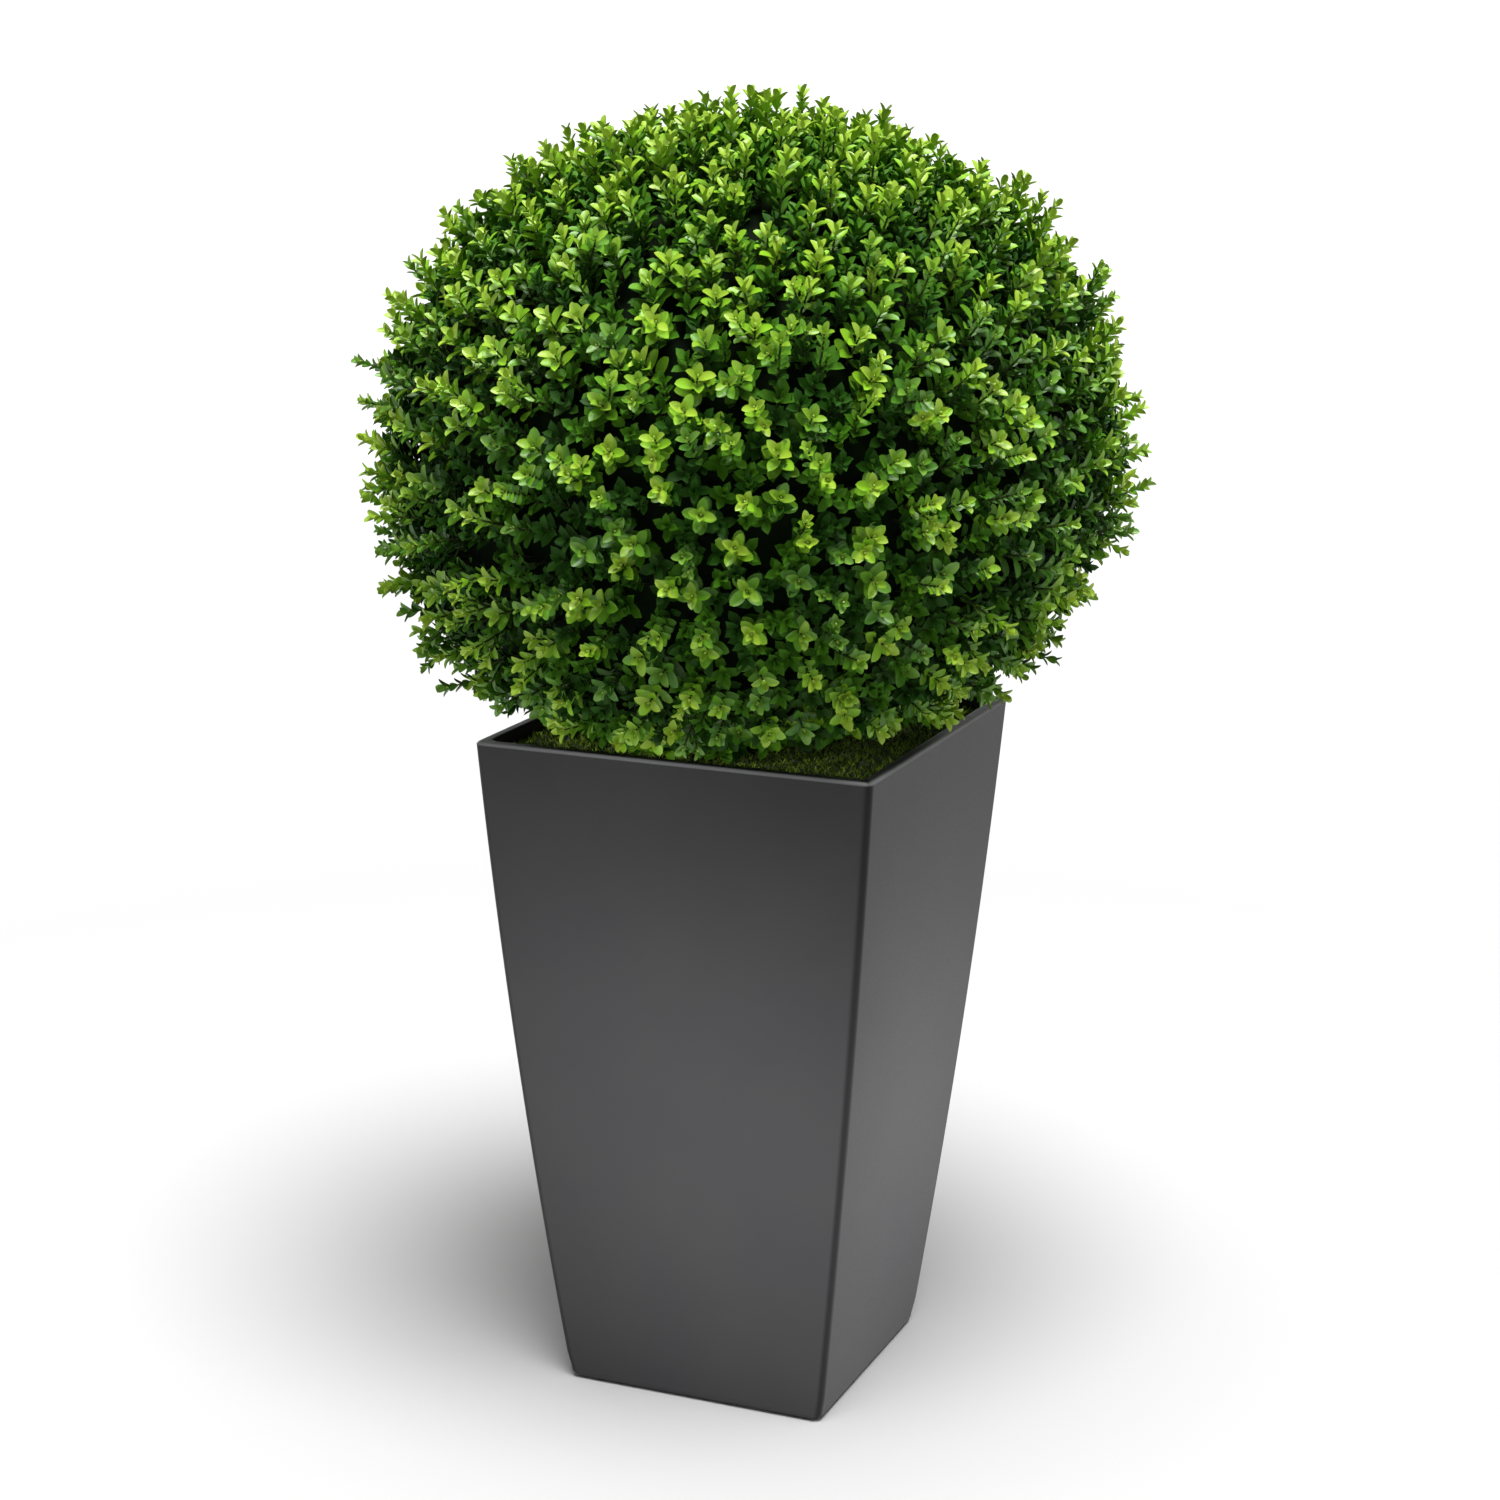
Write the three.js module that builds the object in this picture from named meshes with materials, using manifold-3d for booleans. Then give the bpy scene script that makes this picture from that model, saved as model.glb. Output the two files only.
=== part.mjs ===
// Artificial box topiary ball in a tall tapered square planter.
// Millimetres, +Z up. The origin is the centre of the planter's flat underside.
// The planter's faces look along X and Y.

import * as THREE from 'three';
import { mergeVertices } from 'three/addons/utils/BufferGeometryUtils.js';
import Module from 'manifold-3d';

const wasm = await Module();
wasm.setup();

// Planter: a moulded square tub that widens upwards, its sides slightly bowed out.
const POT_HEIGHT = 550;
const POT_TOP_HALF = 166;
const POT_BASE_HALF = 112;
const POT_BOW = 4;
const POT_EDGE_RADIUS = 7;
const POT_FOOT_RADIUS = 8;
const POT_FLOOR = 12;
const POT_WALL = 11;
const RIM_RADIUS = 3;
const SIDE_RINGS = 6;
const ROUND_RINGS = 3;
const CORNER_SEGMENTS = 2;

// What stands in the planter, each piece a small fitting gap from the next.
const FIT_GAP = 0.3;
const FILL_TOP = 520;
const FILL_RINGS = 4;
const MOSS_TOP = 540;
const MOSS_LUMP = 3.5;
const MOSS_CELLS = 8;
const MOSS_CORNER = 4;
const MOSS_CORNER_POWER = 8;
const MOSS_SEED = 11;

// Stem: cut flat at the foot, flared there, and tapering into the ball.
const STEM_TOP = 850;
const STEM_RADIUS = 20;
const STEM_TIP_RADIUS = 14;
const STEM_FLARE = 12;
const STEM_FLARE_HEIGHT = 50;
const STEM_FLARE_RINGS = 3;
const STEM_ROOTS = 5;
const STEM_ROOT_SWELL = 0.1;
const STEM_SIDES = 15;

// Ball: two half shells of foliage that meet at a level seam.
const SEAM_HEIGHT = 778;
const BALL_RADIUS = 320;
const BALL_RISE = 277;
const CORE_DEPTH = 44;
const CORE_BOTTOM = 553;
const CORE_LUMP = 8;
const CORE_DETAIL = 5;
const CORE_SEED = 5;
const LEAF_CLEARANCE = 3;

// Sprigs: square twigs with crossed pairs of leaves, drawn two to three times life size. The
// lowest row is so many degrees below the seam. Each pair has its leaf's length and width, and
// its lean from the twig in degrees.
const SPRIG_SPACING = 80;
const SPRIG_JITTER = 0.15;
const SPRIG_SEED = 2207;
const SPRIG_LOWEST = 50;
const REACH_VARIES = 11;
const TWIG_SUNK = 12;
const TWIG_RADIUS = 4;
const BUD_LENGTH = 5;
const PAIR_HEIGHT = 6;
const LEAF_PAIRS = [
  { length: 50, width: 31, lean: 76 },
  { length: 46, width: 28, lean: 56 },
  { length: 34, width: 20, lean: 35 },
];
const LEAF_WIDEST = 0.46;
const LEAF_DROOP = 2.4;

// Numbers that every piece uses: a linear congruential step for the random numbers, and how near
// two corners are when they count as one.
const RANDOM_FACTOR = 1664525;
const RANDOM_STEP = 1013904223;
const RANDOM_RANGE = 2 ** 32;
const WELD = 1e-4;
const DEGREE = Math.PI / 180;
const UP = new THREE.Vector3(0, 0, 1);

// Numbers from 0 to 1, the same each time for one seed.
function seededRandom(seed) {
  let state = seed;
  return () => {
    state = (state * RANDOM_FACTOR + RANDOM_STEP) % RANDOM_RANGE;
    return state / RANDOM_RANGE;
  };
}

// A closed solid from a geometry's corners and faces.
function toSolid(geometry) {
  geometry.deleteAttribute('normal');
  geometry.deleteAttribute('uv');
  const merged = mergeVertices(geometry, WELD);
  return new wasm.Manifold(new wasm.Mesh({
    numProp: 3,
    vertProperties: new Float32Array(merged.attributes.position.array),
    triVerts: new Uint32Array(merged.index.array),
  }));
}

function toGeometry(solid) {
  const mesh = solid.getMesh();
  const geometry = new THREE.BufferGeometry();
  geometry.setAttribute('position', new THREE.BufferAttribute(mesh.vertProperties, 3));
  geometry.setIndex(new THREE.BufferAttribute(mesh.triVerts, 1));
  geometry.computeVertexNormals();
  return geometry;
}

// A random value from -1 to 1 for each place, the same wherever corners meet.
function randomByPlace(seed) {
  const random = seededRandom(seed);
  const values = new Map();
  return (point) => {
    const place = point.toArray().map((value) => value.toFixed(3)).join();
    if (!values.has(place)) {
      values.set(place, 2 * random() - 1);
    }
    return values.get(place);
  };
}

// Moves each corner of a geometry to where the rule puts it.
function reshape(geometry, rule) {
  const position = geometry.attributes.position;
  const point = new THREE.Vector3();
  for (let i = 0; i < position.count; i += 1) {
    point.fromBufferAttribute(position, i);
    rule(point);
    position.setXYZ(i, point.x, point.y, point.z);
  }
  return geometry;
}

// A level slab twice as wide as the ball, for cutting it off at a height.
function slab(low, high) {
  const width = 4 * BALL_RADIUS;
  const box = new THREE.BoxGeometry(width, width, high - low);
  box.translate(0, 0, (low + high) / 2);
  return toSolid(box);
}

// Half the planter's outer width at a height: an even taper with a shallow outward bow.
function potHalf(height) {
  const part = height / POT_HEIGHT;
  const taper = THREE.MathUtils.lerp(POT_BASE_HALF, POT_TOP_HALF, part);
  return taper + POT_BOW * 4 * part * (1 - part);
}

// A level of the planter: its height, and its half width set in from the outer face.
function level(height, inset) {
  return { height, half: potHalf(height) - inset };
}

// Levels evenly spaced up a side of the planter.
function sideLevels(low, high, inset, rings) {
  return Array.from({ length: rings + 1 }, (_, i) => (
    level(THREE.MathUtils.lerp(low, high, i / rings), inset)
  ));
}

// Levels round a quarter circle that turns the top edge of a wall over, inwards or outwards.
function rimLevels(inset, inwards) {
  return Array.from({ length: ROUND_RINGS }, (_, i) => {
    const turn = ((i + 1) / ROUND_RINGS) * 90 * DEGREE;
    const height = POT_HEIGHT - RIM_RADIUS * (1 - Math.sin(turn));
    return level(height, inset + inwards * RIM_RADIUS * (1 - Math.cos(turn)));
  });
}

// Levels round the quarter circle under the planter's foot.
function footLevels() {
  return Array.from({ length: ROUND_RINGS }, (_, i) => {
    const turn = (i / ROUND_RINGS) * 90 * DEGREE;
    const height = POT_FOOT_RADIUS * (1 - Math.cos(turn));
    return level(height, POT_FOOT_RADIUS * (1 - Math.sin(turn)));
  });
}

// A square outline with round corners.
function squareOutline(half, radius) {
  const inner = half - radius;
  const outline = new THREE.Shape();
  outline.absarc(inner, inner, radius, 0, 90 * DEGREE);
  outline.absarc(-inner, inner, radius, 90 * DEGREE, 180 * DEGREE);
  outline.absarc(-inner, -inner, radius, 180 * DEGREE, 270 * DEGREE);
  outline.absarc(inner, -inner, radius, 270 * DEGREE, 360 * DEGREE);
  return outline;
}

// A square tower with one ring of its round-cornered outline at each level.
function squareTower(levels, radius) {
  const half = levels[0].half;
  const geometry = new THREE.ExtrudeGeometry(squareOutline(half, radius), {
    depth: levels.length - 1,
    steps: levels.length - 1,
    curveSegments: CORNER_SEGMENTS,
    bevelEnabled: false,
  });
  return toSolid(reshape(geometry, (point) => {
    const ring = levels[Math.round(point.z)];
    point.x += Math.sign(point.x) * (ring.half - half);
    point.y += Math.sign(point.y) * (ring.half - half);
    point.z = ring.height;
  }));
}

// The planter is open at the top, with a flat floor and a rim rounded on both edges.
function planterSolid() {
  const sideTop = POT_HEIGHT - RIM_RADIUS;
  const outside = squareTower([
    ...footLevels(),
    ...sideLevels(POT_FOOT_RADIUS, sideTop, 0, SIDE_RINGS),
    ...rimLevels(0, 1),
  ], POT_EDGE_RADIUS);
  const cavity = squareTower([
    ...sideLevels(POT_FLOOR, sideTop, POT_WALL, SIDE_RINGS),
    ...rimLevels(POT_WALL, -1),
    level(POT_HEIGHT + RIM_RADIUS, POT_WALL - RIM_RADIUS),
  ], POT_EDGE_RADIUS);
  return outside.subtract(cavity);
}

// The potting fill stands on the planter's floor and follows its walls.
function fillSolid() {
  const sides = sideLevels(POT_FLOOR + FIT_GAP, FILL_TOP, POT_WALL + FIT_GAP, FILL_RINGS);
  return squareTower(sides, POT_EDGE_RADIUS);
}

// The stem, or with a clearance the hole that it stands in.
function stemSolid(clearance) {
  const foot = FILL_TOP + FIT_GAP;
  const flareAt = (height) => Math.max(0, 1 - (height - foot) / STEM_FLARE_HEIGHT);
  const radiusAt = (height) => {
    const part = (height - foot) / (STEM_TOP - foot);
    const taper = THREE.MathUtils.lerp(STEM_RADIUS, STEM_TIP_RADIUS, part);
    return taper + STEM_FLARE * flareAt(height) ** 2 + clearance;
  };
  const heights = Array.from({ length: STEM_FLARE_RINGS + 1 }, (_, i) => (
    foot + (i / STEM_FLARE_RINGS) * STEM_FLARE_HEIGHT
  ));
  const rings = [...heights, STEM_TOP].map((height) => (
    new THREE.Vector2(radiusAt(height), height)
  ));
  const low = foot - clearance;
  const high = STEM_TOP + clearance;
  rings[0].y = low;
  rings.at(-1).y = high;
  const profile = [new THREE.Vector2(0, low), ...rings, new THREE.Vector2(0, high)];
  const lathe = new THREE.LatheGeometry(profile, STEM_SIDES).rotateX(90 * DEGREE);
  return toSolid(reshape(lathe, (point) => {
    const around = Math.atan2(point.y, point.x);
    const swell = 1 + STEM_ROOT_SWELL * Math.min(1, flareAt(point.z)) * Math.cos(STEM_ROOTS * around);
    point.x *= swell;
    point.y *= swell;
  }));
}

// Sheet moss, lumpy on top, packed to the planter's walls and round the stem. Its corners are
// drawn in to clear the planter's round ones.
function mossSolid(stemHole) {
  const lump = randomByPlace(MOSS_SEED);
  const low = FILL_TOP + FIT_GAP;
  const mat = new THREE.BoxGeometry(2, 2, 1, MOSS_CELLS, MOSS_CELLS, 1);
  reshape(mat, (point) => {
    const height = point.z > 0 ? MOSS_TOP + MOSS_LUMP * lump(point) : low;
    const corner = MOSS_CORNER * (point.x * point.y) ** MOSS_CORNER_POWER;
    const half = potHalf(height) - POT_WALL - FIT_GAP - corner;
    point.set(point.x * half, point.y * half, height);
  });
  return toSolid(mat).subtract(stemHole);
}

// How far the ball reaches from its centre, along a line that climbs at an angle.
function ballReach(climb) {
  const rise = climb > 0 ? BALL_RISE : BALL_RADIUS;
  return 1 / Math.hypot(Math.cos(climb) / BALL_RADIUS, Math.sin(climb) / rise);
}

// The close-set middle of the ball, which the sprigs stand out of, crumpled like packed leaves.
function coreSolid() {
  const lump = randomByPlace(CORE_SEED);
  const ball = new THREE.IcosahedronGeometry(1, CORE_DETAIL);
  return toSolid(reshape(ball, (point) => {
    const radius = ballReach(Math.asin(point.z)) - CORE_DEPTH + CORE_LUMP * lump(point);
    point.multiplyScalar(radius);
    point.z += SEAM_HEIGHT;
  }));
}

// A sprig as one closed skin. The twig is square and stands on +Z, its foot sunk below the root.
// On two opposite sides of each level, in turn, a leaf of eight faces grows out of the twig.
// The place matrix sets the sprig on the ball. A leaf that would leave its half of the ball or
// touch the planter is left out, and so is a whole sprig whose bud would.
function sprigSolid(reach, place, stays) {
  const last = LEAF_PAIRS.at(-1);
  const top = reach - last.length * Math.cos(last.lean * DEGREE) + PAIR_HEIGHT / 2;
  const levels = LEAF_PAIRS.map((_, i) => top - (LEAF_PAIRS.length - i) * PAIR_HEIGHT);
  const footHeight = Math.min(0, levels[0]) - TWIG_SUNK;
  const budPoint = new THREE.Vector3(0, 0, top + BUD_LENGTH);
  if (!stays(budPoint.clone().applyMatrix4(place))) {
    return [];
  }

  const points = [];
  const faces = [];
  const addPoint = (point) => points.push(point.clone().applyMatrix4(place)) - 1;
  const addRing = (height) => [45, 135, 225, 315].map((angle) => (
    addPoint(new THREE.Vector3(TWIG_RADIUS, 0, height).applyAxisAngle(UP, angle * DEGREE))
  ));

  // The four corners of a twig side run anticlockwise, seen from outside.
  const addSide = ([a, b, c, d]) => faces.push([a, b, c], [a, c, d]);
  const addLeaf = ([a, b, c, d], left, tip, right) => faces.push(
    [a, b, right], [a, right, left], [left, right, tip],
    [c, d, tip], [c, tip, right], [d, left, tip],
    [b, c, right], [d, a, left],
  );

  const leafPoints = ({ length, width, lean }, height, facing) => {
    const along = new THREE.Vector3(Math.sin(lean * DEGREE), 0, Math.cos(lean * DEGREE));
    const under = new THREE.Vector3(along.z, 0, -along.x);
    const blade = (part, across) => along.clone()
      .multiplyScalar(part * length)
      .addScaledVector(under, across === 0 ? 0 : LEAF_DROOP)
      .add(new THREE.Vector3(0, across, height))
      .applyAxisAngle(UP, facing);
    return [blade(LEAF_WIDEST, -width / 2), blade(1, 0), blade(LEAF_WIDEST, width / 2)];
  };

  const foot = addRing(footHeight);
  let below = foot;
  addSide([...foot].reverse());
  [...levels, top].forEach((height, i) => {
    const above = addRing(height);
    for (let side = 0; side < 4; side += 1) {
      const next = (side + 1) % 4;
      const corners = [below[side], below[next], above[next], above[side]];
      const facing = (side + 1) * 90 * DEGREE;
      const leaf = i > 0 && (side + i) % 2 === 0
        ? leafPoints(LEAF_PAIRS[i - 1], height - PAIR_HEIGHT / 2, facing) : [];
      if (leaf.length > 0 && leaf.every((point) => stays(point.clone().applyMatrix4(place)))) {
        addLeaf(corners, ...leaf.map(addPoint));
      } else {
        addSide(corners);
      }
    }
    below = above;
  });
  const bud = addPoint(budPoint);
  below.forEach((corner, side) => faces.push([corner, below[(side + 1) % 4], bud]));

  const skin = new THREE.BufferGeometry().setFromPoints(points);
  skin.setIndex(faces.flat());
  return [toSolid(skin)];
}

// The lowest height a leaf may reach: over the moss inside the planter's mouth, else over the rim.
function restHeight(x, y) {
  const mouth = POT_TOP_HALF - POT_WALL - LEAF_CLEARANCE;
  const inMouth = Math.max(Math.abs(x), Math.abs(y)) < mouth;
  return (inMouth ? MOSS_TOP + MOSS_LUMP : POT_HEIGHT) + LEAF_CLEARANCE;
}

// Sprigs in level rows over one half of the ball, evenly spaced and then nudged at random.
// Each has its climb above or below the seam, its bearing, reach and turn about its own axis.
function sprigRows(side, lastClimb, random) {
  const radius = BALL_RADIUS - CORE_DEPTH / 2;
  const rows = Math.ceil((lastClimb * radius) / SPRIG_SPACING);
  const step = lastClimb / rows;
  const nudge = () => SPRIG_JITTER * (2 * random() - 1);
  const sprigs = [];
  for (let row = 0.5; row < rows; row += 1) {
    const area = 2 * Math.PI * radius ** 2 * step * Math.cos(row * step);
    const count = Math.round(area / SPRIG_SPACING ** 2);
    const start = 360 * DEGREE * random();
    for (let i = 0; i < count; i += 1) {
      sprigs.push({
        climb: side * (row + nudge()) * step,
        bearing: start + ((i + nudge()) / count) * 360 * DEGREE,
        reach: CORE_DEPTH + REACH_VARIES * (2 * random() - 1),
        turn: 180 * DEGREE * random(),
      });
    }
  }
  return sprigs;
}

// One half shell of the ball: its half of the core, with the sprigs fused on.
function foliageHalf(side, core, lastClimb, random) {
  const stays = ({ x, y, z }) => side * (z - SEAM_HEIGHT) > FIT_GAP && z > restHeight(x, y);
  const sprigs = sprigRows(side, lastClimb, random).flatMap(({ climb, bearing, reach, turn }) => {
    const direction = new THREE.Vector3(Math.cos(climb), 0, Math.sin(climb))
      .applyAxisAngle(UP, bearing);
    const root = direction.clone().multiplyScalar(ballReach(climb) - CORE_DEPTH);
    root.z += SEAM_HEIGHT;
    const place = new THREE.Matrix4()
      .makeRotationFromQuaternion(new THREE.Quaternion().setFromUnitVectors(UP, direction))
      .multiply(new THREE.Matrix4().makeRotationZ(turn))
      .setPosition(root);
    return sprigSolid(reach, place, stays);
  });
  return sprigs.reduce((mass, sprig) => mass.add(sprig), core);
}

function addPiece(group, name, solid, { color, roughness }) {
  const material = new THREE.MeshStandardMaterial({ color, roughness, metalness: 0 });
  const mesh = new THREE.Mesh(toGeometry(solid), material);
  mesh.name = name;
  group.add(mesh);
}

const RESIN = { color: 0x4d4d50, roughness: 0.5 };
const POTTING = { color: 0x33271c, roughness: 0.95 };
const MOSS = { color: 0x3f5214, roughness: 0.95 };
const BARK = { color: 0x6a5540, roughness: 0.85 };
const LEAF = { color: 0x4f8a20, roughness: 0.45 };

const stemHole = stemSolid(FIT_GAP);
const core = coreSolid().subtract(stemHole);
const lowerCore = core.intersect(slab(CORE_BOTTOM, SEAM_HEIGHT - FIT_GAP / 2));
const upperCore = core.intersect(slab(SEAM_HEIGHT + FIT_GAP / 2, SEAM_HEIGHT + BALL_RISE));
const lowest = SPRIG_LOWEST * DEGREE;
const random = seededRandom(SPRIG_SEED);

const topiary = new THREE.Group();
addPiece(topiary, 'planter', planterSolid(), RESIN);
addPiece(topiary, 'potting_fill', fillSolid(), POTTING);
addPiece(topiary, 'moss', mossSolid(stemHole), MOSS);
addPiece(topiary, 'stem', stemSolid(0), BARK);
addPiece(topiary, 'foliage_lower', foliageHalf(-1, lowerCore, lowest, random), LEAF);
addPiece(topiary, 'foliage_upper', foliageHalf(1, upperCore, 90 * DEGREE, random), LEAF);

export default topiary;
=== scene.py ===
# %% [markdown]
# # A box topiary ball in a tall planter
# The object is an artificial box ball: sprigs of moulded leaves plugged into a hollow ball, on a
# short stem that stands in moss in a tapered resin planter. The CAD part already fixes every
# size. This lesson dresses it: each solid gets either a finer mesh by the same rule or a finish.
# Blender works in metres here, with +Z up and the origin under the middle of the planter.

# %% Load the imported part
import math

import bpy
import numpy as np
from mathutils import Matrix, Vector, noise


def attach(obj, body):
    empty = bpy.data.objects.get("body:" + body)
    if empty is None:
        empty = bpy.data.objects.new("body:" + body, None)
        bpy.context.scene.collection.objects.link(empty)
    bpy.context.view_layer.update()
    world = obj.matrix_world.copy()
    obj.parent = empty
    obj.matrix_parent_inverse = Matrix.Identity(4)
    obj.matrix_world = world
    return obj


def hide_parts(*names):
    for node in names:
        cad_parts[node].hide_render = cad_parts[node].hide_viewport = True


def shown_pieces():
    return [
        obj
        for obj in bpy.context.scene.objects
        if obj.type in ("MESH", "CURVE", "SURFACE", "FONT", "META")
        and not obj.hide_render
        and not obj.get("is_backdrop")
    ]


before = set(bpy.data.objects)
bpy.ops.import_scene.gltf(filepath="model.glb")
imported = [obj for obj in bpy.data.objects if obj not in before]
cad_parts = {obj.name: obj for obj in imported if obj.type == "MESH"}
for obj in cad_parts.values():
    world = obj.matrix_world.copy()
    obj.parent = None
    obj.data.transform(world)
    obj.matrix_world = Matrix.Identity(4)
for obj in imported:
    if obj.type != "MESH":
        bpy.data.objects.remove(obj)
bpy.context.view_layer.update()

# %% [markdown]
# ## Sizes
# A maker works from a short list of sizes, and so does this script. All but the last two are
# the values that the solids were made from, so that the fine meshes fall on the plain ones. The
# last two tuck in one lower side of the ball, which only this finer model has.

# %% The sizes that drive every piece
MM = 0.001
DEGREE = math.pi / 180
UP = np.array([0.0, 0.0, 1.0])

POT_HEIGHT = 550 * MM
POT_TOP_HALF = 166 * MM
POT_BASE_HALF = 112 * MM
POT_BOW = 4 * MM
POT_EDGE_RADIUS = 7 * MM
POT_FOOT_RADIUS = 8 * MM
POT_FLOOR = 12 * MM
POT_WALL = 11 * MM
RIM_RADIUS = 3 * MM

FIT_GAP = 0.3 * MM
FILL_TOP = 520 * MM
MOSS_TOP = 540 * MM

STEM_TOP = 850 * MM
STEM_RADIUS = 20 * MM
STEM_TIP_RADIUS = 14 * MM
STEM_FLARE = 12 * MM
STEM_FLARE_HEIGHT = 50 * MM
STEM_ROOTS = 5
STEM_ROOT_SWELL = 0.1

SEAM_HEIGHT = 778 * MM
BALL_RADIUS = 320 * MM
BALL_RISE = 277 * MM
REACH_VARIES = 11 * MM
LEAF_CLEARANCE = 3 * MM
BALL_TUCK = 56 * MM
BALL_TUCK_BEARING = 22 * DEGREE


def pot_half(height):
    """Half the planter's outer width at a height: an even taper with a shallow outward bow."""
    part = height / POT_HEIGHT
    taper = POT_BASE_HALF + (POT_TOP_HALF - POT_BASE_HALF) * part
    return taper + POT_BOW * 4 * part * (1 - part)


def ball_reach(climb, bearing):
    """How far the ball reaches from its centre along a line that climbs at an angle."""
    rise = np.where(climb > 0, BALL_RISE, BALL_RADIUS)
    tuck = np.minimum(np.sin(climb), 0) ** 2 * np.maximum(np.cos(bearing - BALL_TUCK_BEARING), 0)
    return 1 / np.hypot(np.cos(climb) / BALL_RADIUS, np.sin(climb) / rise) - BALL_TUCK * tuck


print("Planter rim width in mm:", round(2 * pot_half(POT_HEIGHT) / MM, 1))
print("Ball reach level and straight up in mm:", ball_reach(np.array([0, 90 * DEGREE]), 0) / MM)

# %% [markdown]
# ## The camera
# The photograph looks a little down on the object and shows one side of the planter broadly and
# the next one narrowly. The planter's straight edges are enough to work out where it was taken.

# %% The camera stands where the photograph's did
CAMERA_BEARING = 22.407 * DEGREE
CAMERA_PITCH = 13.396 * DEGREE
CAMERA_ROLL = 0.467 * DEGREE
CAMERA_DISTANCE = 2.4466
CAMERA_HEIGHT = 1.1063
FOCAL_PIXELS = 3093.65
IMAGE_PIXELS = 1500
SENSOR_WIDTH = 36.0

camera_data = bpy.data.cameras.new("camera")
camera_data.sensor_width = SENSOR_WIDTH
camera_data.lens = SENSOR_WIDTH * FOCAL_PIXELS / IMAGE_PIXELS
camera = bpy.data.objects.new("camera", camera_data)
bpy.context.scene.collection.objects.link(camera)
turn = (
    Matrix.Rotation(CAMERA_BEARING, 4, "Z")
    @ Matrix.Rotation(90 * DEGREE - CAMERA_PITCH, 4, "X")
    @ Matrix.Rotation(CAMERA_ROLL, 4, "Z")
)
stand = Vector((
    CAMERA_DISTANCE * math.sin(CAMERA_BEARING),
    -CAMERA_DISTANCE * math.cos(CAMERA_BEARING),
    CAMERA_HEIGHT,
))
camera.matrix_world = Matrix.Translation(stand) @ turn
bpy.context.scene.camera = camera
print("Camera lens in mm:", round(camera_data.lens, 2))

# %% [markdown]
# ## Helpers for finishes
# Colours are written as the hex codes that a colour picker shows, and Blender's shaders want
# linear light, so one function turns them over. A second one adds a shader node with its
# settings and links, which keeps each material short enough to read as a recipe.

# %% Colour, node and material helpers


def linear(code):
    """A hex colour as linear red, green, blue and alpha."""
    parts = [int(code[i:i + 2], 16) / 255 for i in (1, 3, 5)]
    light = [p / 12.92 if p <= 0.04045 else ((p + 0.055) / 1.055) ** 2.4 for p in parts]
    return (*light, 1.0)


def add_node(tree, kind, settings=(), links=()):
    """Adds a node. A setting is one of its own options or an input's value."""
    node = tree.nodes.new(kind)
    for name, value in dict(settings).items():
        if isinstance(name, str) and hasattr(node, name):
            setattr(node, name, value)
        else:
            node.inputs[name].default_value = value
    for name, source in dict(links).items():
        tree.links.new(source, node.inputs[name])
    return node


def start_material(name, settings):
    """A new material, its node tree and its main shader, with the shader's plain settings."""
    material = bpy.data.materials.new(name)
    material.use_nodes = True
    shader = material.node_tree.nodes["Principled BSDF"]
    for socket, value in settings.items():
        shader.inputs[socket].default_value = value
    return material, material.node_tree, shader


def per_metre(width):
    """A noise texture's scale, for blobs of a width in metres."""
    return 1 / width


print("Linear value of a mid grey:", [round(value, 3) for value in linear("#808080")])

# %% [markdown]
# ## Helpers for pieces
# A mesh is only a list of points and a list of faces. One function makes an object of them,
# and another puts it on the one body and hides the solids that it stands for.

# %% Piece helpers


def mesh_piece(name, points, faces, materials, paint=None):
    """A smooth mesh object. Paint is the number of each face's material."""
    mesh = bpy.data.meshes.new(name)
    mesh.from_pydata(np.asarray(points).tolist(), [], [list(face) for face in faces])
    for material in materials:
        mesh.materials.append(material)
    if paint is not None:
        mesh.polygons.foreach_set("material_index", np.asarray(paint, np.int32))
    mesh.shade_smooth()
    mesh.update()
    piece = bpy.data.objects.new(name, mesh)
    bpy.context.scene.collection.objects.link(piece)
    return piece


def settle(piece, slot, *nodes):
    """The piece rides on the one body and stands for these solids. The slot is not used."""
    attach(piece, "root")
    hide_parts(*nodes)
    print(f"{piece.name}: {len(piece.data.polygons)} faces")


def ring_faces(rings, around):
    """Four-sided faces between closed rings of points, from the first ring to the last."""
    faces = []
    for ring in range(rings - 1):
        for i in range(around):
            a = ring * around + i
            b = ring * around + (i + 1) % around
            faces.append((a, b, b + around, a + around))
    return faces


print("Faces between two rings of four points:", len(ring_faces(2, 4)))

# %% [markdown]
# ## The studio
# The photograph was taken in soft light from all round, stronger from above, on a white
# ground. A floor that curves up, a photographer's cove, gives that ground with no edge to it, and
# here it is a wide shallow bowl, so every view has it and the light from above still falls on its
# slope. Its paper is lighter far off, where less light falls, so the ground looks even. A broad
# overhead panel and a sun lamp with a large angle give the light from above, and the world gives
# the rest. A weak panel in front lights the rim, and three soft spots, one of them behind, lay
# the broad low glow on the planter's sides. Light linking keeps those spots off the floor, where
# they would throw long shadows. All the lamps stand further off than any view of the part.

# %% Floor, world and lamps
COVE_MIDDLE = 6.0
COVE_FLOOR = 20.0
COVE_BEND = 8.0
COVE_SLOPE = 17 * DEGREE
COVE_END = 62.0
COVE_BRIM = (66.0, 18.5)
COVE_AROUND = 96
BEND_STEPS = 8
PAPER_DARKER_WITHIN = 1.5
PAPER_PALE_BEYOND = 7.0


def cove_height(radius):
    """The cove's height: flat, then a bend that gets steeper, then an even slope."""
    past = max(0.0, radius - COVE_FLOOR)
    bent = min(past, COVE_BEND)
    return math.tan(COVE_SLOPE) * (bent ** 2 / 2 / COVE_BEND + past - bent)


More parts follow.
